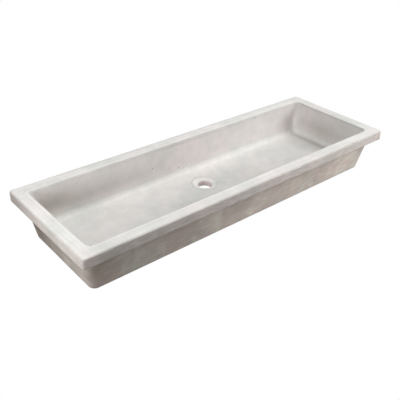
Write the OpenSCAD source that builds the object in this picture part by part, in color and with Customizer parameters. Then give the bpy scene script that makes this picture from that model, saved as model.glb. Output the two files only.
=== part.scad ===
// Drop-in trough sink: one concrete casting on a light steel cage.
// The origin is on the underside, below the middle of the rim. X runs along the trough,
// the front is -Y and the rim faces +Z. All sizes are in millimetres.

/* [Overall] */
// Length of the rim, end to end
rim_l = 1220; // [900:10:1500]
// Width of the rim, front to back
rim_w = 406; // [336:2:500]
// Height from the underside to the top of the rim
trough_h = 150; // [125:1:200]

/* [Rim] */
// Height of the rim's edge band
rim_h = 32; // [26:1:42]
// Flat land from the rim's outer edge to the opening
rim_land = 40; // [36:1:50]
// How far the rim stands out past the wall below it
rim_overhang = 25; // [14:1:30]
// Radius of the rim's four upright corners
rim_corner_r = 8; // [7:1:20]
// Round on the rim's top outer edge
rim_top_round = 5; // [1:0.5:6]
// Round on the rim's lower outer edge
rim_under_round = 2.5; // [1:0.5:5]

/* [Walls and floor] */
// Lean of the walls from upright, the same inside and outside (degrees)
wall_lean = 9.5; // [4:0.5:12]
// Radius of the body's four outer corners
body_corner_r = 22; // [14:1:40]
// Round where the outer walls turn under
base_round = 10; // [3:1:13]
// Thickness of the floor at the foot of the walls
floor_t = 37; // [34:1:50]

/* [Basin] */
// Radius of the basin's four upright corners
basin_corner_r = 20; // [20:1:40]
// Radius of the cove between the walls and the floor
cove_r = 20; // [8:1:20]
// Round on the opening's top edge
opening_round = 4; // [1:0.5:5]
// Fall of the floor from the walls to the drain's dish
floor_fall = 5; // [2:0.5:6]

/* [Drain] */
// Distance of the drain behind the middle of the trough
drain_y = 50; // [0:1:60]
// Diameter of the drain hole
drain_d = 48; // [40:1:58]
// Diameter of the conical dish that a waste's flange sits in
dish_d = 84; // [70:1:96]
// Depth of the dish
dish_depth = 5; // [3:0.5:6]
// Diameter of the recess under the floor for the waste's back nut
recess_d = 110; // [90:1:112]
// Depth of that recess
recess_depth = 8; // [3:0.5:9]

/* [Steel cage] */
// Diameter of the rod that rings the rim
rim_rod_d = 6; // [4:0.5:8]
// Diameter of the bars in the walls and the floor
bar_d = 4; // [3:0.5:5]
// Concrete under the lowest bars
bar_cover = 12; // [10:1:14]
// Concrete over the top ends of the bars
top_cover = 12; // [8:1:16]
// Radius of the bends in the bars
bend_r = 20; // [14:1:24]
// Radius of the ring round the drain
ring_r = 60; // [58:1:66]
// Film of concrete between bars that cross
tie_gap = 0.3; // [0.2:0.1:0.6]

/* [Hidden] */
$fn = 64;
hull_fn = 32;          // facets of the round shapes that a hull blends
over = 4;              // how far a cut runs past the face that it opens
lap = 1;               // how far one cut at the drain runs into the next
skin = 0.01;           // thickness of a disc that only gives a hull its outline
foot_steps = 12;       // flats that make up each round at the foot of a wall
bars_per_side = 4;     // cross bars on each side of the drain
long_bars = 3;         // lengthwise bars in the floor
arris_steps = 4;       // flats that make up each round on the rim
side_bar_margin = 18;  // from the outer lengthwise bars to the cross bars' bends
bend_thinning = 0.1;   // a bar draws this much thinner where it is bent
bend_lap = 2;          // degrees that a bend runs on inside the straight at each end

tan_lean = tan(wall_lean);
drain_r = drain_d / 2;
dish_z = floor_t - floor_fall;           // the dish's edge
hole_z = dish_z - dish_depth;            // where the dish meets the hole
rod_z = trough_h - rim_h / 2;            // the rod runs at mid-height of the rim
cross_z = bar_cover + bar_d / 2;         // lowest layer: cross bars
long_z = cross_z + bar_d + tie_gap;      // next layer: lengthwise bars
ring_z = long_z + bar_d + tie_gap;       // top layer: the ring round the drain
bend_turn = 90 - wall_lean;              // angle that a bar turns through at the foot of a wall
bend_reach = bend_r * tan(bend_turn / 2);
first_bar_x = ring_r + bar_d + tie_gap;  // the nearest cross bars pass beside the ring
bar_pitch = (floor_run(rim_l / 2, long_z) - first_bar_x) / bars_per_side;
side_bar_y = floor_run(rim_w / 2, cross_z) - side_bar_margin;
long_bar_y = [-side_bar_y, drain_y - ring_r, side_bar_y];

// Distance from the rim's outer edge in to the outer wall, at height z.
function outer_inset(z) = rim_overhang + (trough_h - rim_h - z) * tan_lean;
// The same for the basin's wall.
function inner_inset(z) = rim_land + (trough_h - z) * tan_lean;
// The same for the middle of the wall's thickness, where the bars run.
function mid_inset(z) = (outer_inset(z) + inner_inset(z)) / 2;
// Distance from a leaning wall to the axis of a foot that it is tangent to.
function foot_inset(r, edge) = r - edge + edge / cos(wall_lean);
// Half-length of a bar's straight run along the floor, up to where its bend starts.
function floor_run(half_span, z) = half_span - mid_inset(z) - bend_reach;

// Puts a child at each corner of the rim's rectangle, drawn in by an inset.
module at_corners(inset, z) {
    for (sx = [-1, 1], sy = [-1, 1])
        translate([sx * (rim_l / 2 - inset), sy * (rim_w / 2 - inset), z])
            children();
}

// Upright puck with its lower edge rounded, turned from its half-profile.
module foot(r, edge) {
    rotate_extrude($fn = hull_fn)
        polygon(concat(
            [[0, edge], [0, 0]],
            [for (a = [0 : 90 / foot_steps : 90]) [r - edge + edge * sin(a), edge - edge * cos(a)]]
        ));
}

// Body with leaning walls, round corners and a rounded foot, blended between its eight corners.
// The wall's line is given by its insets at the foot's round and at the top.
module leaning_body(foot_z, foot_wall, top_z, top_wall, r, edge) {
    hull() {
        at_corners(foot_wall + foot_inset(r, edge), foot_z)
            foot(r, edge);
        at_corners(top_wall + r, top_z)
            cylinder(r = r, h = skin, $fn = hull_fn);
        children();
    }
}

// Upright puck with both edges rounded, turned from its half-profile.
module rim_corner() {
    r = rim_corner_r;
    top = rim_top_round;
    low = rim_under_round;
    rotate_extrude($fn = hull_fn)
        polygon(concat(
            [[0, rim_h], [0, 0]],
            [for (a = [0 : 90 / arris_steps : 90]) [r - low + low * sin(a), low - low * cos(a)]],
            [for (a = [0 : 90 / arris_steps : 90]) [r - top + top * cos(a), rim_h - top + top * sin(a)]]
        ));
}

// Solid plate with the rim's rounded edge all round; the basin is cut from it later.
module rim_plate() {
    hull()
        at_corners(rim_corner_r, trough_h - rim_h)
            rim_corner();
}

// Outer body below the rim.
module outer_body() {
    top_z = trough_h - rim_h + over;
    leaning_body(0, outer_inset(base_round), top_z, outer_inset(top_z), body_corner_r, base_round);
}

// The space inside the basin: leaning walls, coves and a floor that falls to the drain.
module basin_space() {
    top_z = trough_h + over;
    leaning_body(floor_t, inner_inset(floor_t + cove_r), top_z, inner_inset(top_z),
                 basin_corner_r, cove_r)
        translate([0, drain_y, dish_z])
            cylinder(r = dish_d / 2, h = lap, $fn = hull_fn);
}

// Cut that rounds the opening's top edge, in a few flats from the wall up to the land.
module opening_edge() {
    axis = rim_land + basin_corner_r;
    for (i = [0 : arris_steps - 1]) {
        a = 90 * i / arris_steps;
        b = 90 * (i + 1) / arris_steps;
        low = [opening_round * (1 - cos(a)), opening_round * (1 - sin(a))];
        high = [opening_round * (1 - cos(b)), opening_round * (1 - sin(b))];
        hull()
            at_corners(axis, trough_h - low[1])
                cylinder(r1 = basin_corner_r + low[0], r2 = basin_corner_r + high[0],
                         h = low[1] - high[1], $fn = hull_fn);
    }
}

// Everything cut at the drain: the dish, the hole and the recess for the back nut.
module drain_cut() {
    slope = (dish_d / 2 - drain_r) / dish_depth;
    translate([0, drain_y, 0]) {
        translate([0, 0, hole_z])
            cylinder(r1 = drain_r, r2 = drain_r + slope * (dish_depth + over),
                     h = dish_depth + over);
        translate([0, 0, -over])
            cylinder(r = drain_r, h = hole_z + over + lap);
        translate([0, 0, -over])
            cylinder(d = recess_d, h = recess_depth + over);
    }
}

// One half of a bent bar, in the XZ plane: half the run, the bend and the leg in the wall.
module half_bar(run, leg) {
    rotate([0, 90, 0])
        cylinder(d = bar_d, h = run);
    translate([run, 0, bend_r])
        rotate([90, 0, 0])
            rotate([0, 0, -90]) {
                rotate([0, 0, -bend_lap])
                    rotate_extrude(angle = bend_turn + 2 * bend_lap)
                        translate([bend_r, 0])
                            circle(d = bar_d - bend_thinning);
                rotate([0, 0, bend_turn])
                    translate([bend_r, 0, 0])
                        rotate([-90, 0, 0])
                            cylinder(d = bar_d, h = leg);
            }
}

// Bar bent up at both ends: a run along the floor and a leg in each wall.
module bent_bar(half_span, z) {
    leg = (trough_h - top_cover - z) / cos(wall_lean) - bend_reach;
    translate([0, 0, z])
        for (s = [0, 1])
            mirror([s, 0, 0])
                half_bar(floor_run(half_span, z), leg);
}

// One cross bar: across the floor and up the front and back walls.
module cross_bar(i) {
    side = i <= bars_per_side ? -1 : 1;
    step = i <= bars_per_side ? bars_per_side - i : i - bars_per_side - 1;
    color("lightsteelblue")
        translate([side * (first_bar_x + step * bar_pitch), 0, 0])
            rotate([0, 0, 90])
                bent_bar(rim_w / 2, cross_z);
}

// One lengthwise bar: along the floor on top of the cross bars and up both end walls.
module floor_bar(i) {
    color("lightsteelblue")
        translate([0, long_bar_y[i - 1], 0])
            bent_bar(rim_l / 2, long_z);
}

// A quarter of the rod round the rim: one bend and half of each side that it joins.
module quarter_rod(half_l, half_w) {
    translate([0, half_w + bend_r, 0])
        rotate([0, 90, 0])
            cylinder(d = rim_rod_d, h = half_l);
    translate([half_l + bend_r, 0, 0])
        rotate([-90, 0, 0])
            cylinder(d = rim_rod_d, h = half_w);
    translate([half_l, half_w, 0])
        rotate_extrude(angle = 90)
            translate([bend_r, 0])
                circle(d = rim_rod_d);
}

// Closed rod round the rim, just outside the bars' upper ends.
module rim_rod() {
    beside = ((rim_rod_d + bar_d) / 2 + tie_gap) / cos(wall_lean);
    inset = mid_inset(rod_z) - beside + bend_r;
    color("silver")
        translate([0, 0, rod_z])
            for (s = [0, 1], t = [0, 1])
                mirror([s, 0, 0])
                    mirror([0, t, 0])
                        quarter_rod(rim_l / 2 - inset, rim_w / 2 - inset);
}

// Ring of bar round the drain, on top of the lengthwise bars.
module drain_ring() {
    color("lightsteelblue")
        translate([0, drain_y, ring_z])
            rotate_extrude()
                translate([ring_r, 0])
                    circle(d = bar_d);
}

// The casting, with the cage's own space left in the concrete.
module trough_casting() {
    color([0.84, 0.83, 0.81])
        difference() {
            union() {
                rim_plate();
                outer_body();
            }
            basin_space();
            opening_edge();
            drain_cut();
            rim_rod();
            drain_ring();
            for (i = [1 : 2 * bars_per_side])
                cross_bar(i);
            for (i = [1 : long_bars])
                floor_bar(i);
        }
}

trough_casting();
rim_rod();
drain_ring();
for (i = [1 : 2 * bars_per_side])
    cross_bar(i);
for (i = [1 : long_bars])
    floor_bar(i);
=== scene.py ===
import math

import bpy
import numpy as np
from mathutils import Matrix, Vector


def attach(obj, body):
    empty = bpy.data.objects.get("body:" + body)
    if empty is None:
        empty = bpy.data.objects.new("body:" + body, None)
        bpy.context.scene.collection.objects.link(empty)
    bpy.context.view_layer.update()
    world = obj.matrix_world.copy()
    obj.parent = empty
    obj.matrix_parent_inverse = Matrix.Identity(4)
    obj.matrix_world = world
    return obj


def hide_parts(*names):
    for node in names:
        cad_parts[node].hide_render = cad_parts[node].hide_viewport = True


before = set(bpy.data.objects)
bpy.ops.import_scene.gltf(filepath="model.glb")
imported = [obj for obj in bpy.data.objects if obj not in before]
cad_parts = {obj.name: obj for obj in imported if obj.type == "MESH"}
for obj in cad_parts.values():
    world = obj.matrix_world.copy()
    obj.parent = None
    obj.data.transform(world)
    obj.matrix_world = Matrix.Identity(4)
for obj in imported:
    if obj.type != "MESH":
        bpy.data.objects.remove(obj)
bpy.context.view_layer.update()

# ---------------------------------------------------------------------------
# Camera: a studio camera on a tripod, above the front left of the trough.
# The values were matched to the photograph, with the trough at its real size.
# ---------------------------------------------------------------------------
azimuth = math.radians(-40.75)
elevation = math.radians(31.91)
roll = math.radians(1.86)
distance = 1.599
target = Vector((-0.2270, -0.1499, 0.150))
frame_px = 400.0
lens_px = 570.5        # focal length, in pixels of the frame
axis_right_px = -8.0   # the lens's axis, to the right of the frame's middle
sensor_mm = 36.0

back = Vector((math.sin(azimuth) * math.cos(elevation),
               -math.cos(azimuth) * math.cos(elevation),
               math.sin(elevation)))
right = (-back).cross(Vector((0, 0, 1))).normalized()
up = back.cross(right)
right_rolled = math.cos(roll) * right + math.sin(roll) * up
up_rolled = math.cos(roll) * up - math.sin(roll) * right

camera_data = bpy.data.cameras.new("camera")
camera_data.sensor_width = sensor_mm
camera_data.lens = sensor_mm * lens_px / frame_px
camera_data.shift_x = -axis_right_px / frame_px
camera = bpy.data.objects.new("camera", camera_data)
bpy.context.collection.objects.link(camera)
camera.matrix_world = Matrix((
    (right_rolled.x, up_rolled.x, back.x, target.x + back.x * distance),
    (right_rolled.y, up_rolled.y, back.y, target.y + back.y * distance),
    (right_rolled.z, up_rolled.z, back.z, target.z + back.z * distance),
    (0, 0, 0, 1),
))
bpy.context.scene.camera = camera
bpy.context.scene.view_settings.view_transform = "Standard"


# ---------------------------------------------------------------------------
# Trough: one casting of pale concrete, poured upside down in a smooth mould, so
# that the walls and the basin are as the mould left them. The rim's top was then
# rubbed down along its length, and its arrises were eased by hand.
# ---------------------------------------------------------------------------
# Sizes in mm. The walls lean inwards by the same angle, inside and outside.
rim_length, rim_width, height = 1220.0, 406.0, 150.0
land_wide, overhang, rim_under_z = 40.0, 25.0, 118.0
lean = math.radians(9.5)
tan_lean, cos_lean, lean_deg = math.tan(lean), math.cos(lean), math.degrees(lean)
drain_y = 50.0
bore_r, dish_r, recess_r = 24.0, 42.0, 55.0
bore_top, dish_edge_z, floor_z = 27.0, 32.0, 37.0
recess_deep, recess_eased = 8.0, 0.7
cove_r, basin_corner_r = 20.0, 20.0
body_corner_r, base_corner_r, base_r = 22.0, 12.0, 10.0
rim_corner_r, outer_arris_r, lower_arris_r = 9.0, 3.2, 2.5
inner_eased = 2.5  # how far the inner arris's rounding reaches along the land and the wall
hole_lip_r = 2.2

# Points along one side of the rim, and round one of its corners.
long_steps, short_steps, corner_steps = 216, 70, 12


def outline(inset, z, radius):
    """One level loop round the trough, as far in from the rim's edge as inset says, in mm."""
    x = rim_length / 2 - inset - radius
    y = rim_width / 2 - inset - radius
    loop = []
    corners = [(x, y, 0), (-x, y, 90), (-x, -y, 180), (x, -y, 270)]
    for i, (cx, cy, start) in enumerate(corners):
        for k in range(corner_steps):
            a = math.radians(start + 90 * k / corner_steps)
            loop.append((cx + radius * math.cos(a), cy + radius * math.sin(a), z))
        steps = long_steps if i % 2 == 0 else short_steps
        a = math.radians(start + 90)
        first = np.array((cx + radius * math.cos(a), cy + radius * math.sin(a), z))
        nx, ny, _ = corners[(i + 1) % 4]
        last = np.array((nx + radius * math.cos(a), ny + radius * math.sin(a), z))
        for k in range(steps):
            loop.append(tuple(first + (last - first) * k / steps))
    return np.array(loop)


def arc(centre, radius, start, end, steps):
    """Points of a rounded edge in the profile, as (inset, z), with angles in degrees."""
    angles = [math.radians(start + (end - start) * k / steps) for k in range(steps + 1)]
    return [(centre[0] + radius * math.cos(a), centre[1] + radius * math.sin(a)) for a in angles]


# Where the cove meets the floor, and the straight lines to there from the drain.
foot_inset = land_wide + (height - floor_z - cove_r) * tan_lean + cove_r / cos_lean
foot_corner_r = 2.0
foot = outline(foot_inset, floor_z, foot_corner_r)
drain = np.array((0, drain_y))
reach = np.linalg.norm(foot[:, :2] - drain, axis=1)
spoke = (foot[:, :2] - drain) / reach[:, None]


def ring(radius, z):
    """One level ring round the drain, with a point on the line to each point of the foot."""
    return np.column_stack((drain + spoke * radius, np.full(len(spoke), z)))


rings, zones = [], []


def lay(loop, zone):
    """Adds the next loop of the skin, with the zone that it belongs to."""
    rings.append(loop)
    zones.append(zone)


# The hole, from its lower edge up to the eased lip where the dish starts.
for wider, z in [(0.9, recess_deep), (0.3, recess_deep + 0.3), (0, recess_deep + 0.9)]:
    lay(ring(bore_r + wider, z), "hole")
for z in [14.0, 20.0, 25.2]:
    lay(ring(bore_r, z), "hole")
slope = math.atan2(dish_edge_z - bore_top, dish_r - bore_r)
lip_z = bore_top - hole_lip_r * math.tan((math.pi / 2 - slope) / 2)
for radius, z in arc((bore_r + hole_lip_r, lip_z), hole_lip_r, 180, 90 + math.degrees(slope), 6):
    lay(ring(radius, z), "dish")


def dish_and_floor(radius):
    """Height of the dish, a shallow bowl, and of the floor that falls to it on every side."""
    part = (radius - bore_r) / (dish_r - bore_r)
    bowl = bore_top + (dish_edge_z - bore_top) * (0.35 * part + 0.65 * part ** 2)
    fall = dish_edge_z + (floor_z - dish_edge_z) * (radius - dish_r) / (reach - dish_r)
    blend = 0.6  # the dish's edge is eased where bowl and floor are this close, in mm
    near = np.maximum(blend - np.abs(bowl - fall), 0) / blend
    return np.minimum(bowl, fall) - near * near * blend / 4


dish_end = 48.0
for radius in [28, 31, 34, 36.5, 38.5, 40, 41.5, 43, 44.5, 46, dish_end]:
    level = dish_and_floor(np.full(len(reach), radius))
    lay(np.column_stack((drain + spoke * radius, level)), "dish")
# The floor, out to the foot of the walls, with its loops closer together at both ends.
floor_loops = 28
for k in range(1, floor_loops + 1):
    part = k / floor_loops
    part = 0.55 * part + 0.45 * (1 - math.cos(math.pi * part)) / 2
    radius = dish_end + (reach - dish_end) * part
    lay(np.column_stack((drain + spoke * radius[:, None], dish_and_floor(radius))), "floor")
# The cove, the basin's wall and the eased edge of the opening.
for inset, z in arc((foot_inset, floor_z + cove_r), cove_r, 270, 180 + lean_deg, 12)[1:]:
    lay(outline(inset, z, max(foot_inset - inset, foot_corner_r)), "cove")
wall_low = floor_z + cove_r - cove_r * math.sin(lean)
wall_top = height - inner_eased * cos_lean
for k in range(1, 13):
    z = wall_low + (wall_top - wall_low) * k / 13
    lay(outline(land_wide + (height - z) * tan_lean, z, basin_corner_r), "wall")
land_inner = land_wide - inner_eased
land_corner_r, opening_corner_r = 8.0, 22.8
inner_arris_r = inner_eased / math.tan(math.radians(90 - lean_deg) / 2)
for inset, z in arc((land_inner, height - inner_arris_r), inner_arris_r, lean_deg, 90, 6):
    lay(outline(inset, z, opening_corner_r + land_inner - inset), "arris")
# The rim's land, its outer arris and its edge band.
for inset in [36, 32, 27, 22, 16, 11, 6]:
    part = (inset - outer_arris_r) / (land_inner - outer_arris_r)
    lay(outline(inset, height, land_corner_r + (opening_corner_r - land_corner_r) * part), "land")
band_top = height - 0.7
for inset, z in arc((outer_arris_r, height - outer_arris_r), outer_arris_r, 90, 180, 6):
    lay(outline(inset, z, rim_corner_r - 0.3 * inset), "arris" if z > band_top else "band")
for z in [141, 136, 131, 126]:
    lay(outline(0, z, rim_corner_r), "band")
for inset, z in arc((lower_arris_r, rim_under_z + lower_arris_r), lower_arris_r, 180, 270, 4):
    lay(outline(inset, z, rim_corner_r - inset), "band")
# The rim's underside and the corner below it, as inset and corner radius or height.
for inset, radius in [(7, 9), (12.5, 13), (18, 17), (22.5, 21)]:
    lay(outline(inset, rim_under_z, radius), "outside")
for inset, z in [(24.0, 117.8), (24.9, 117.1), (25.35, 115.9)]:
    lay(outline(inset, z, body_corner_r), "outside")
# The body's wall and its rounded foot.
body_top, body_low = 116.0, 8.35
for k in range(1, 15):
    z = body_top - (body_top - body_low) * k / 14
    lay(outline(overhang + (rim_under_z - z) * tan_lean, z, body_corner_r), "outside")
base_inset = overhang + (rim_under_z - base_r) * tan_lean + base_r / cos_lean
for inset, z in arc((base_inset, base_r), base_r, 180 + lean_deg, 270, 7)[1:]:
    lay(outline(inset, z, base_inset + base_corner_r - inset), "outside")
# The underside and the recess for the waste's back nut.
mouth = ring(recess_r + recess_eased, 0)
under = outline(base_inset, 0, base_corner_r)
for k in range(1, 8):
    lay(under + (mouth - under) * k / 8, "outside")
lay(mouth, "outside")
for z in [recess_eased, 4.0, 7.4]:
    lay(ring(recess_r, z), "outside")
for radius in [54.4, 40.0, 30.0]:
    lay(ring(radius, recess_deep), "outside")

points = np.array(rings)
count, around = points.shape[0], points.shape[1]
row = np.arange(count)[:, None]
column = np.arange(around)[None, :]
here = row * around + column
beside = row * around + (column + 1) % around
above = (row + 1) % count * around + column
opposite = (row + 1) % count * around + (column + 1) % around
faces = np.stack((here, above, opposite, beside), axis=-1).reshape(-1, 4)

trough_mesh = bpy.data.meshes.new("trough")
trough_mesh.from_pydata((points.reshape(-1, 3) / 1000).tolist(), [], faces.tolist())
trough_mesh.update()
trough_mesh.polygons.foreach_set("use_smooth", [True] * len(trough_mesh.polygons))

# The skin wanders inwards by up to 0.35 mm, as a mould made by hand does, and by up to
# 0.25 mm more along the arrises. Near the underside that fades to nothing.
seeded = np.random.default_rng(7)
flat = np.empty(count * around * 3)
trough_mesh.vertices.foreach_get("co", flat)
place = flat.reshape(-1, 3) * 1000
trough_mesh.vertices.foreach_get("normal", flat)
normal = flat.reshape(-1, 3).copy()


def wander(shortest, longest):
    """Smooth noise from 0 to 1 over the skin, with waves between two lengths in mm."""
    total = np.zeros(len(place))
    for _ in range(28):
        way = seeded.normal(size=3)
        way /= np.linalg.norm(way)
        wave = math.exp(seeded.uniform(math.log(shortest), math.log(longest)))
        total += np.sin(2 * math.pi * (place @ way) / wave + seeded.uniform(0, 2 * math.pi))
    return np.clip(0.5 + total / 18, 0, 1)


zone_of = np.repeat(np.array(zones), around)
worn = (zone_of == "arris").astype(float)
depth = 0.35 * wander(120, 420) + worn * 0.25 * wander(8, 30) ** 2
depth *= np.clip((place[:, 2] - 1) / 8, 0, 1)
trough_mesh.vertices.foreach_set("co", ((place - normal * depth[:, None]) / 1000).ravel())
trough_mesh.update()

# What share of each zone's finish a point takes. The cove's share, which carries painted light, fades
# out over 23 mm.
middle = points[:, around // 2 + corner_steps, :]
gap = np.linalg.norm(np.roll(middle, -1, axis=0) - middle, axis=1)
across = np.concatenate(([0], np.cumsum(gap)))
cove_at = across[:-1][np.array(zones) == "cove"].mean()
zone_shares = {}
for zone in ["wall", "land", "band", "outside", "hole"]:
    zone_shares[zone] = (zone_of == zone).astype(float)
zone_shares["cove"] = np.repeat(np.exp(-((across[:-1] - cove_at) / 23) ** 2), around)

# Stains and painted light and shade: centre and reach in mm along x, y and z, and how much paler (+)
# or browner (-) than the rest. Most are painted light and shade, marked below, which make the left
# third darker than the right, inside and outside; the rest are stains.
painted_light_and_stains = [
    (-570, 160, 92, 140, 40, 32, -0.42),     # back wall of the basin, left end: painted shade
    (-330, 160, 80, 170, 40, 26, -0.17),     # back wall, left of the middle: painted shade
    (330, 160, 80, 250, 40, 60, 0.24),       # back wall, right half: painted light
    (560, 10, 76, 14, 110, 40, -0.22),       # right end wall of the basin: painted shade
    (-600, -165, 60, 150, 30, 60, -0.22),    # body, front left corner: painted shade
    (-560, -186, 66, 60, 18, 64, -0.40),     # that corner's front face: painted shade
    (-586, -120, 60, 16, 34, 50, 0.24),      # left end of the body, next to it: painted light
    (-40, -165, 26, 130, 30, 28, 0.25),      # front of the body, low in the middle
    (470, -168, 36, 130, 30, 36, 0.22),      # front, low on the right: painted light
    (250, -175, 96, 160, 22, 26, -0.14),     # front, high on the right: painted shade under the rim
    (-250, -175, 100, 260, 22, 22, -0.14),   # front, high on the left: painted shade under the rim
    (580, 0, 150, 26, 200, 6, -0.11),        # rim's top, right end: painted shade
    (-568, -110, 20, 20, 110, 20, 0.28),     # left end of the body, low: painted light
    (-575, 110, 40, 20, 70, 40, -0.28),      # left end, towards the back: painted shade
    (-560, -203, 134, 240, 12, 20, -0.10),   # edge band, front left: painted shade
    (-610, 0, 134, 14, 190, 20, 0.24),       # edge band, left end: painted light
    (0, -178, 103, 700, 16, 8, -0.40),       # front, painted shadow under the rim
    (-586, 0, 103, 16, 220, 8, -0.26),       # left end, painted shadow under the rim
    (0, 165, 143.5, 700, 10, 3.5, -0.18),    # back wall, along its top: painted shade under the arris
    (-40, 165, 143, 46, 10, 4, -0.22),       # back wall, a smudge at its top
    (508, 157, 84, 22, 18, 40, -0.20),       # back wall, beside the right corner: painted shade
    (549, 146, 90, 9, 9, 60, 0.32),          # the corner itself: painted light
    (527, 20, 37.5, 11, 120, 7, -0.22),      # floor, at the foot of the right end: painted shadow of the end wall
    (547, 20, 48, 8, 120, 9, 0.10),          # cove of the right end: painted light
    (-300, 40, 34, 190, 90, 10, 0.05),       # floor, left
    (-120, -30, 33, 90, 50, 10, -0.09),      # floor, in front of the drain on its left
    (120, 20, 33, 60, 30, 10, -0.06),        # floor, right of the drain
    (200, -60, 34, 120, 40, 10, -0.07),      # floor, front right
    (30, 118, 36, 300, 22, 12, 0.05),        # floor, along the back: painted light
]
stain_light_and_shade = np.zeros(len(place))
for x, y, z, long, wide, high, share in painted_light_and_stains:
    away = (place - (x, y, z)) / (long, wide, high)
    stain_light_and_shade += share * np.exp(-(away ** 2).sum(axis=1))
# The dish is paler, a little from wear all round and mostly as painted light on its behind-left side,
# which faces the right-hand lamp; a thin dark line round its edge is partly dirt and partly painted
# shade, darkest behind left.
from_drain = np.hypot(place[:, 0], place[:, 1] - drain_y)
in_dish = (place[:, 2] > bore_top - 1) & (place[:, 2] < dish_edge_z + 4)
bearing = np.arctan2(place[:, 1] - drain_y, place[:, 0])
behind_left_light_and_shade = 0.5 + 0.5 * np.cos(bearing - math.radians(130))
inside_dish = np.clip((dish_r - from_drain) / 5, 0, 1)
dirt_and_shade_line = np.exp(-((from_drain - dish_r - 2.5) / 2.6) ** 2)
stain_light_and_shade += in_dish * 0.14 * (0.35 + 0.65 * behind_left_light_and_shade) * inside_dish
stain_light_and_shade -= in_dish * (0.05 + 0.09 * behind_left_light_and_shade) * dirt_and_shade_line
# The land is painted darker along its outer arris all round, as painted shade where the rounding turns
# away, and lighter along its inner arris, as a painted highlight.
from_ends = rim_length / 2 - np.abs(place[:, 0])
from_sides = rim_width / 2 - np.abs(place[:, 1])
from_edge = np.minimum(from_ends, from_sides)
on_top = place[:, 2] > height - 1.2
painted_highlight = 0.10 * np.exp(-((from_edge - 35.5) / 3.5) ** 2)
painted_edge_shade = 0.09 * np.clip((7 - from_edge) / 4, 0, 1)
stain_light_and_shade += on_top * (painted_highlight - painted_edge_shade)

for name, share in {**zone_shares, "stain_light_and_shade": stain_light_and_shade}.items():
    layer = trough_mesh.attributes.new(name, "FLOAT", "POINT")
    layer.data.foreach_set("value", share.astype(np.float32))

# The unwrapping is in metres: along the rim's outer edge, and across the skin.
edge_line = outline(0, 0, rim_corner_r)
step = np.linalg.norm(np.diff(edge_line, axis=0, append=edge_line[:1]), axis=1)
along = np.concatenate(([0], np.cumsum(step))) / 1000
over = across / 1000
u = np.stack((along[:-1], along[:-1], along[1:], along[1:]), axis=-1)[None]
v = np.stack((over[:-1], over[1:], over[1:], over[:-1]), axis=-1)[:, None]
u = np.broadcast_to(u, (count, around, 4))
v = np.broadcast_to(v, (count, around, 4))
unwrapped = trough_mesh.uv_layers.new(name="along_and_across")
unwrapped.data.foreach_set("uv", np.stack((u, v), axis=-1).astype(np.float32).ravel())

trough = bpy.data.objects.new("trough", trough_mesh)
bpy.context.collection.objects.link(trough)
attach(trough, "root")
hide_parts("trough_casting")


def colour(code):
    """A six-digit sRGB hex code as the linear colour that a shader takes."""
    parts = [int(code[i:i + 2], 16) / 255 for i in (1, 3, 5)]
    return [c / 12.92 if c <= 0.04045 else ((c + 0.055) / 1.055) ** 2.4 for c in parts] + [1]


def add(tree, kind, inputs, **settings):
    """Adds one node: its settings, and for each input a value or the output that feeds it."""
    made = tree.nodes.new(kind)
    for name, value in settings.items():
        setattr(made, name, value)
    for name, value in inputs.items():
        if isinstance(value, bpy.types.NodeSocket):
            tree.links.new(value, made.inputs[name])
        else:
            made.inputs[name].default_value = value
    return made


# Cast concrete, sealed but not polished: chalky and matt. White cement with fine pale
# sand gives a near-white grey that drifts between green and pink where the mix and the
# water varied, with a finer mottle and a few pinholes left by air against the mould.
concrete = bpy.data.materials.new("cast_white_concrete")
concrete.use_nodes = True
tree = concrete.node_tree
tree.nodes.clear()
solid = add(tree, "ShaderNodeTexCoord", {}).outputs["Object"]
skin = add(tree, "ShaderNodeUVMap", {}, uv_map="along_and_across").outputs[0]
marked = {}
for name in ["wall", "land", "band", "outside", "hole", "cove", "stain_light_and_shade"]:
    marked[name] = add(tree, "ShaderNodeAttribute", {}, attribute_name=name).outputs["Fac"]
mixed = {"data_type": "RGBA"}
multiplied = {"data_type": "RGBA", "blend_type": "MULTIPLY"}
unchanged = (1, 1, 1, 1)

# A pattern's scale is how many of it go into a metre, from its size in mm.
# Drift between the two greys, 154 mm across.
drift = add(tree, "ShaderNodeTexNoise", {
    "Vector": solid, "Scale": 1000 / 154, "Detail": 3.0, "Roughness": 0.55})
drift_range = add(tree, "ShaderNodeMapRange", {
    "Value": drift.outputs[0], "From Min": 0.34, "From Max": 0.66})
tint = add(tree, "ShaderNodeMix", {
    "Factor": drift_range.outputs[0], "A": colour("#D4D5D1"), "B": colour("#E1DDDA")}, **mixed)
# Mottle, 37 mm across.
mottle = add(tree, "ShaderNodeTexNoise", {
    "Vector": solid, "Scale": 1000 / 37, "Detail": 6.0, "Roughness": 0.62})
mottle_range = add(tree, "ShaderNodeMapRange", {
    "Value": mottle.outputs[0], "From Min": 0.3, "From Max": 0.7, "To Min": 0.945, "To Max": 1.05})
mottled = add(tree, "ShaderNodeVectorMath", {
    0: tint.outputs[2], "Scale": mottle_range.outputs[0]}, operation="SCALE")
# Sand grains of 1 to 2 mm, drawn as a 3 mm speckle because finer ones don't show.
sand = add(tree, "ShaderNodeTexNoise", {
    "Vector": solid, "Scale": 1000 / 3.03, "Detail": 2.0, "Roughness": 0.6})
sand_range = add(tree, "ShaderNodeMapRange", {
    "Value": sand.outputs[0], "From Min": 0.3, "From Max": 0.7, "To Min": 0.94, "To Max": 1.06})
sanded = add(tree, "ShaderNodeVectorMath", {
    0: mottled.outputs[0], "Scale": sand_range.outputs[0]}, operation="SCALE")

# The basin's walls are a little pinker than its floor.
wall_tint = add(tree, "ShaderNodeMix", {
    "Factor": marked["wall"], "A": unchanged, "B": (1.075, 1.04, 1.05, 1)}, **mixed)
walled = add(tree, "ShaderNodeMix", {
    "Factor": 1.0, "A": sanded.outputs[0], "B": wall_tint.outputs[2]}, **multiplied)
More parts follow.
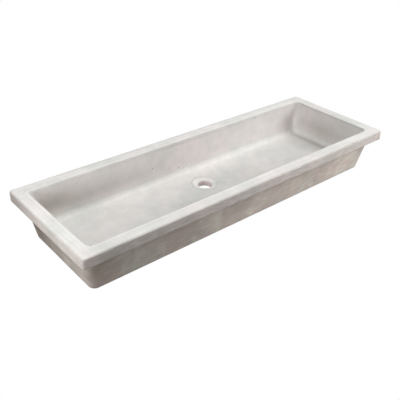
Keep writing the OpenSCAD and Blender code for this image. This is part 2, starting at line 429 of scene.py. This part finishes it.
# Stains and painted light and shade: the browner ones keep more red than blue, most of all outside.
darker = add(tree, "ShaderNodeMapRange", {
    "Value": marked["stain_light_and_shade"], "From Min": 0.0, "From Max": -0.4})
paler = add(tree, "ShaderNodeMapRange", {
    "Value": marked["stain_light_and_shade"], "From Min": 0.0, "From Max": 0.4})
dark_hue = add(tree, "ShaderNodeMix", {
    "Factor": marked["outside"], "A": (0.615, 0.597, 0.57, 1), "B": (0.64, 0.59, 0.575, 1)}, **mixed)
brown = add(tree, "ShaderNodeMix", {
    "Factor": darker.outputs[0], "A": unchanged, "B": dark_hue.outputs[2]}, **mixed)
pale = add(tree, "ShaderNodeMix", {
    "Factor": paler.outputs[0], "A": unchanged, "B": (1.40, 1.40, 1.40, 1)}, **mixed)
shaded_and_stained = add(tree, "ShaderNodeMix", {
    "Factor": 1.0, "A": walled.outputs[2], "B": brown.outputs[2]}, **multiplied)
lit_shaded_and_stained = add(tree, "ShaderNodeMix", {
    "Factor": 1.0, "A": shaded_and_stained.outputs[2], "B": pale.outputs[2]}, **multiplied)

# Body, outside: the mould side took up oil and stayed browner, with pale lime bloom 91 mm
# across, and slanting streaks about 63 mm long and 5 mm apart.
bloom = add(tree, "ShaderNodeTexNoise", {
    "Vector": solid, "Scale": 1000 / 91, "Detail": 5.0, "Roughness": 0.6, "Distortion": 0.6})
bloom_range = add(tree, "ShaderNodeMapRange", {
    "Value": bloom.outputs[0], "From Min": 0.42, "From Max": 0.66})
oiled = add(tree, "ShaderNodeMix", {
    "Factor": bloom_range.outputs[0], "A": colour("#EDDFD9"), "B": colour("#FFFBF1")}, **mixed)
streaked = add(tree, "ShaderNodeMapping", {
    "Vector": skin, "Rotation": (0, 0, math.radians(-9)), "Scale": (1000 / 62.5, 1000 / 5.263, 1.0)})
streaks = add(tree, "ShaderNodeTexNoise", {
    "Vector": streaked.outputs[0], "Scale": 1.0, "Detail": 4.0, "Roughness": 0.6})
streaks_range = add(tree, "ShaderNodeMapRange", {
    "Value": streaks.outputs[0], "From Min": 0.3, "From Max": 0.7, "To Min": 0.84, "To Max": 1.12})
oil_streaks = add(tree, "ShaderNodeVectorMath", {
    0: oiled.outputs[2], "Scale": streaks_range.outputs[0]}, operation="SCALE")
body = add(tree, "ShaderNodeMix", {
    "Factor": marked["outside"], "A": unchanged, "B": oil_streaks.outputs[0]}, **mixed)
on_body = add(tree, "ShaderNodeMix", {
    "Factor": 1.0, "A": lit_shaded_and_stained.outputs[2], "B": body.outputs[2]}, **multiplied)

# Drain hole: painted near white and a little pink, as painted light for the light that comes up
# through the hole from the white sweep below.
hole_painted_light = add(tree, "ShaderNodeMix", {
    "Factor": marked["hole"], "A": on_body.outputs[2], "B": colour("#FFF1EE")}, **mixed)
# Rim's top: rubbed down along its length, so it is whiter and drawn in fine lines that
# follow the edge, about 330 mm long and 7 mm apart.
drawn = add(tree, "ShaderNodeMapping", {
    "Vector": skin, "Scale": (1000 / 333.3, 1000 / 6.667, 1.0)})
lines = add(tree, "ShaderNodeTexNoise", {
    "Vector": drawn.outputs[0], "Scale": 1.0, "Detail": 3.0, "Roughness": 0.6})
lines_range = add(tree, "ShaderNodeMapRange", {
    "Value": lines.outputs[0], "From Min": 0.3, "From Max": 0.7, "To Min": 1.12, "To Max": 1.29})
land_share = add(tree, "ShaderNodeMix", {
    "Factor": marked["land"], "A": 1.0, "B": lines_range.outputs[0]})
# Edge band: ground by hand on a slant, which left it browner, with a hatch 3 mm apart.
slant = add(tree, "ShaderNodeMapping", {
    "Vector": skin, "Rotation": (0, 0, math.radians(-14)), "Scale": (1000 / 35.71, 1000 / 3.333, 1.0)})
hatch = add(tree, "ShaderNodeTexNoise", {
    "Vector": slant.outputs[0], "Scale": 1.0, "Detail": 3.0, "Roughness": 0.6})
hatch_range = add(tree, "ShaderNodeMapRange", {
    "Value": hatch.outputs[0], "From Min": 0.3, "From Max": 0.7, "To Min": 0.72, "To Max": 1.08})
band_share = add(tree, "ShaderNodeMix", {
    "Factor": marked["band"], "A": 1.0, "B": hatch_range.outputs[0]})
browner = add(tree, "ShaderNodeMix", {
    "Factor": marked["band"], "A": unchanged, "B": (1.02, 0.95, 0.925, 1)}, **mixed)
banded = add(tree, "ShaderNodeMix", {
    "Factor": 1.0, "A": hole_painted_light.outputs[2], "B": browner.outputs[2]}, **multiplied)
# Cove: painted light, a little whiter than the floor where it turns up to face the lamps.
cove_painted_light = add(tree, "ShaderNodeMapRange", {
    "Value": marked["cove"], "To Min": 1.0, "To Max": 1.08})
rim_shares = add(tree, "ShaderNodeMath", {
    0: land_share.outputs[0], 1: band_share.outputs[0]}, operation="MULTIPLY")
all_shares = add(tree, "ShaderNodeMath", {
    0: rim_shares.outputs[0], 1: cove_painted_light.outputs[0]}, operation="MULTIPLY")
rubbed = add(tree, "ShaderNodeVectorMath", {
    0: banded.outputs[2], "Scale": all_shares.outputs[0]}, operation="SCALE")

# Pinholes 2.4 mm across, soft out to 4.8 mm, in about a third of the 34.5 mm cells.
cells = add(tree, "ShaderNodeTexVoronoi", {
    "Vector": solid, "Scale": 1000 / 34.5, "Randomness": 1.0})
hollow = add(tree, "ShaderNodeMapRange", {
    "Value": cells.outputs["Distance"], "From Min": 2.4 / 34.5, "From Max": 1.2 / 34.5})
cell_parts = add(tree, "ShaderNodeSeparateColor", {"Color": cells.outputs["Color"]})
chosen = add(tree, "ShaderNodeMath", {
    0: cell_parts.outputs[0], 1: 0.68}, operation="GREATER_THAN")
pinhole = add(tree, "ShaderNodeMath", {
    0: hollow.outputs[0], 1: chosen.outputs[0]}, operation="MULTIPLY")
pitted = add(tree, "ShaderNodeMix", {
    "Factor": pinhole.outputs[0], "A": rubbed.outputs[0], "B": colour("#8E8681")}, **mixed)

# Relief: mottle and sand are under a tenth of a millimetre, and a pinhole half of one.
mottle_height = add(tree, "ShaderNodeMath", {
    0: mottle.outputs[0], 1: 0.35}, operation="MULTIPLY")
grain_height = add(tree, "ShaderNodeMath", {
    0: sand.outputs[0], 1: 0.22, 2: mottle_height.outputs[0]}, operation="MULTIPLY_ADD")
relief = add(tree, "ShaderNodeMath", {
    0: pinhole.outputs[0], 1: -1.0, 2: grain_height.outputs[0]}, operation="MULTIPLY_ADD")
bump = add(tree, "ShaderNodeBump", {
    "Height": relief.outputs[0], "Strength": 0.6, "Distance": 0.0008})
rough = add(tree, "ShaderNodeMapRange", {
    "Value": mottle.outputs[0], "From Min": 0.3, "From Max": 0.7, "To Min": 0.62, "To Max": 0.8})
surface = add(tree, "ShaderNodeBsdfPrincipled", {
    "Base Color": pitted.outputs[2], "Roughness": rough.outputs[0], "IOR": 1.5,
    "Specular IOR Level": 0.35, "Normal": bump.outputs[0]})
add(tree, "ShaderNodeOutputMaterial", {"Surface": surface.outputs[0]})
trough_mesh.materials.append(concrete)

# ---------------------------------------------------------------------------
# Cage: a rod round the rim, bars across and along the floor and a ring round the
# drain, all of galvanised mild steel, bent cold and cast inside the concrete.
# ---------------------------------------------------------------------------
# Hot-dip zinc, weathered dull: a grey metal with pale and dark crystals 7 mm across.
zinc = bpy.data.materials.new("galvanised_steel")
zinc.use_nodes = True
tree = zinc.node_tree
tree.nodes.clear()
solid = add(tree, "ShaderNodeTexCoord", {}).outputs["Object"]
spangle = add(tree, "ShaderNodeTexVoronoi", {"Vector": solid, "Scale": 1000 / 7.14})
crystal = add(tree, "ShaderNodeSeparateColor", {"Color": spangle.outputs["Color"]})
sheen = add(tree, "ShaderNodeMix", {
    "Factor": crystal.outputs[0], "A": colour("#A9ACAE"), "B": colour("#C6C8C9")}, **mixed)
dull = add(tree, "ShaderNodeMapRange", {
    "Value": crystal.outputs[1], "To Min": 0.38, "To Max": 0.55})
surface = add(tree, "ShaderNodeBsdfPrincipled", {
    "Base Color": sheen.outputs[2], "Metallic": 1.0, "Roughness": dull.outputs[0]})
add(tree, "ShaderNodeOutputMaterial", {"Surface": surface.outputs[0]})
for name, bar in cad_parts.items():
    if name != "trough_casting":
        bar.data.materials.clear()
        bar.data.materials.append(zinc)

# ---------------------------------------------------------------------------
# Studio: a sweep and a tent that read pure white to the lens, as in the photograph,
# three large soft boxes to the right, overhead on the left and at the front right,
# and two small ones, low at the front and by the left end.
# ---------------------------------------------------------------------------
sweep_half, sweep_drop = 30, 0.001
sweep_corners = [(x * sweep_half, y * sweep_half, 0) for x, y in [(-1, -1), (1, -1), (1, 1), (-1, 1)]]
sweep_mesh = bpy.data.meshes.new("white_sweep")
sweep_mesh.from_pydata(sweep_corners, [], [(0, 1, 2, 3)])
sweep = bpy.data.objects.new("white_sweep", sweep_mesh)
sweep.location.z = -sweep_drop
bpy.context.collection.objects.link(sweep)

# Both are white to the lens and throw back only a little light on the trough.
white = bpy.data.materials.new("white_sweep")
sweep_mesh.materials.append(white)
tent = bpy.data.worlds.new("white_tent")
bpy.context.scene.world = tent
backdrops = [
    (white, "ShaderNodeEmission", "ShaderNodeOutputMaterial", 0.15),
    (tent, "ShaderNodeBackground", "ShaderNodeOutputWorld", 0.12),
]
for backdrop, glow, output, thrown_back in backdrops:
    backdrop.use_nodes = True
    tree = backdrop.node_tree
    tree.nodes.clear()
    path = add(tree, "ShaderNodeLightPath", {})
    bright = add(tree, glow, {"Color": (1, 1, 1, 1), "Strength": 1.0})
    dim = add(tree, glow, {"Color": (1, 1, 1, 1), "Strength": thrown_back})
    either = add(tree, "ShaderNodeMixShader", {
        0: path.outputs["Is Camera Ray"], 1: dim.outputs[0], 2: bright.outputs[0]})
    add(tree, output, {"Surface": either.outputs[0]})

# Name, place, what it points at, width, depth and watts.
soft_boxes = [
    ("right", (1.84, 0.0, 1.84), (0, 0, 0.1), 1.3, 1.3, 23.5),
    ("overhead_left", (-1.10, 0.0, 2.36), (0, 0, 0.1), 1.3, 1.3, 30.3),
    ("front_right", (1.67, -1.67, 1.10), (0, 0, 0.1), 1.3, 1.3, 20.3),
    ("front_low", (0.7, -1.0, 0.15), (0.7, 0, 0.1), 1.4, 0.3, 3.9),
    ("left_end", (-1.0, -0.2, 0.25), (-0.6, -0.05, 0.134), 0.4, 0.2, 1.42),
]
for name, stand, aim, box_wide, box_deep, watts in soft_boxes:
    light = bpy.data.lights.new(name, "AREA")
    light.shape = "RECTANGLE"
    light.size, light.size_y = box_wide, box_deep
    light.energy = watts
    box = bpy.data.objects.new(name, light)
    box.location = stand
    box.rotation_euler = (Vector(aim) - Vector(stand)).to_track_quat("-Z", "Y").to_euler()
    box.visible_camera = False
    bpy.context.collection.objects.link(box)
